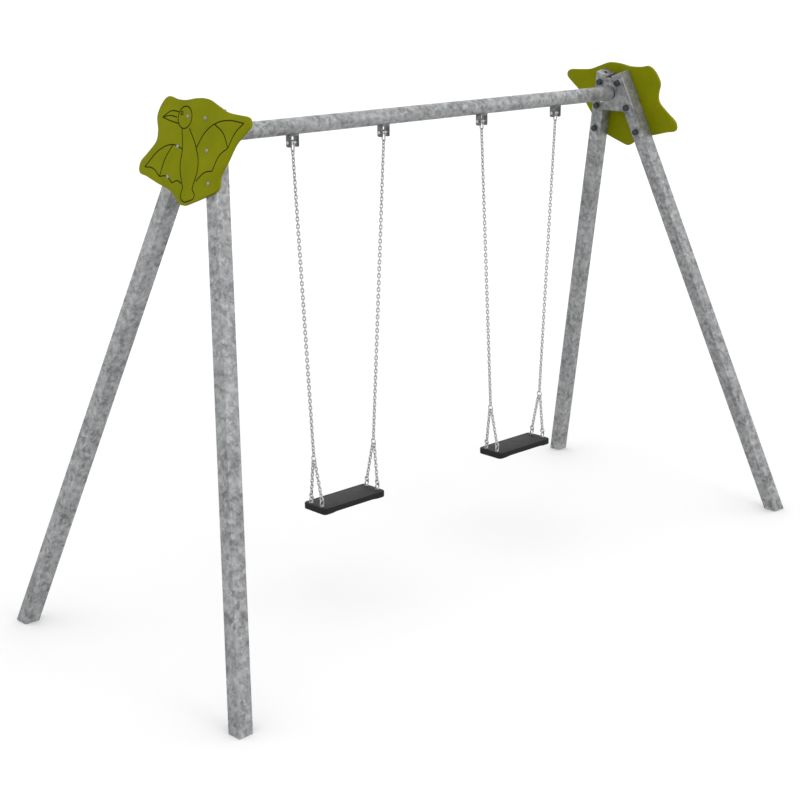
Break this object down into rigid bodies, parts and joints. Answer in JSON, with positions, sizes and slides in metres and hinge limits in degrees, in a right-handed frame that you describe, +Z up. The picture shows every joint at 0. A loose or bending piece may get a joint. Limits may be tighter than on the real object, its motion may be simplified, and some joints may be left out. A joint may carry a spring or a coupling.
{
  "type": "swing set",
  "caption": "Free-standing playground swing: leaning A-frames of square tube, a round beam, flat rubber seats on short-link chain and shaped end panels.",
  "frame": {"origin": "on the ground, midway between the four feet, under the middle of the beam", "axes": "+X along the beam, +Y across it towards the rear, +Z up"},
  "size_m": [4.307, 1.8706, 2.726],
  "materials": {
    "galvanised_steel": "hot-dip galvanised, matt, mottled with grey spangle",
    "bright_steel": "bright zinc or stainless, satin",
    "chain_steel": "galvanised short-link chain, satin",
    "hanger_steel": "galvanised, darker grey",
    "green_panel": "olive-lime green polyethylene sheet, fine matt grain",
    "black_plastic": "black moulded plastic, satin",
    "black_rubber": "charcoal moulded rubber, matt",
    "core_steel": "plain steel plate, hidden"
  },
  "bodies": {
    "frame": {"left_front_leg": "galvanised_steel", "left_rear_leg": "galvanised_steel", "right_front_leg": "galvanised_steel", "right_rear_leg": "galvanised_steel", "left_leg_caps": "galvanised_steel", "right_leg_caps": "galvanised_steel", "crossbeam": "galvanised_steel", "left_head_bracket": "galvanised_steel", "right_head_bracket": "galvanised_steel", "left_lock_bolt": "bright_steel", "right_lock_bolt": "bright_steel", "left_panel": "green_panel", "right_panel": "green_panel", "left_frame_bolts": "bright_steel", "right_frame_bolts": "bright_steel", "left_nut_washers": "bright_steel", "right_nut_washers": "bright_steel", "left_frame_nuts": "bright_steel", "right_frame_nuts": "bright_steel", "left_bolt_covers": "black_plastic", "right_bolt_covers": "black_plastic", "left_outer_hanger": "hanger_steel", "left_inner_hanger": "hanger_steel", "right_inner_hanger": "hanger_steel", "right_outer_hanger": "hanger_steel", "left_pivot_bolts": "bright_steel", "right_pivot_bolts": "bright_steel", "left_pivot_nuts": "bright_steel", "right_pivot_nuts": "bright_steel"},
    "left_swing": {"left_spools": "bright_steel", "left_top_links": "chain_steel", "left_outer_chain": "chain_steel", "left_inner_chain": "chain_steel", "left_rings": "chain_steel"},
    "left_seat_assembly": {"left_outer_bridle": "chain_steel", "left_inner_bridle": "chain_steel", "left_corner_links": "chain_steel", "left_seat_eyes": "bright_steel", "left_seat_core": "core_steel", "left_seat": "black_rubber"},
    "right_swing": {"right_spools": "bright_steel", "right_top_links": "chain_steel", "right_inner_chain": "chain_steel", "right_outer_chain": "chain_steel", "right_rings": "chain_steel"},
    "right_seat_assembly": {"right_inner_bridle": "chain_steel", "right_outer_bridle": "chain_steel", "right_corner_links": "chain_steel", "right_seat_eyes": "bright_steel", "right_seat_core": "core_steel", "right_seat": "black_rubber"}
  },
  "joints": [
    {"name": "left_swing_pivot", "type": "hinge", "parent": "frame", "child": "left_swing", "pos_m": [-0.676, 0, 2.47], "axis": [1, 0, 0], "range_deg": [-60, 60]},
    {"name": "left_seat_tilt", "type": "hinge", "parent": "left_swing", "child": "left_seat_assembly", "pos_m": [-0.676, 0, 0.81217], "axis": [1, 0, 0], "range_deg": [-25, 25]},
    {"name": "right_swing_pivot", "type": "hinge", "parent": "frame", "child": "right_swing", "pos_m": [0.676, 0, 2.47], "axis": [1, 0, 0], "range_deg": [-60, 60]},
    {"name": "right_seat_tilt", "type": "hinge", "parent": "right_swing", "child": "right_seat_assembly", "pos_m": [0.676, 0, 0.81217], "axis": [1, 0, 0], "range_deg": [-25, 25]}
  ]
}
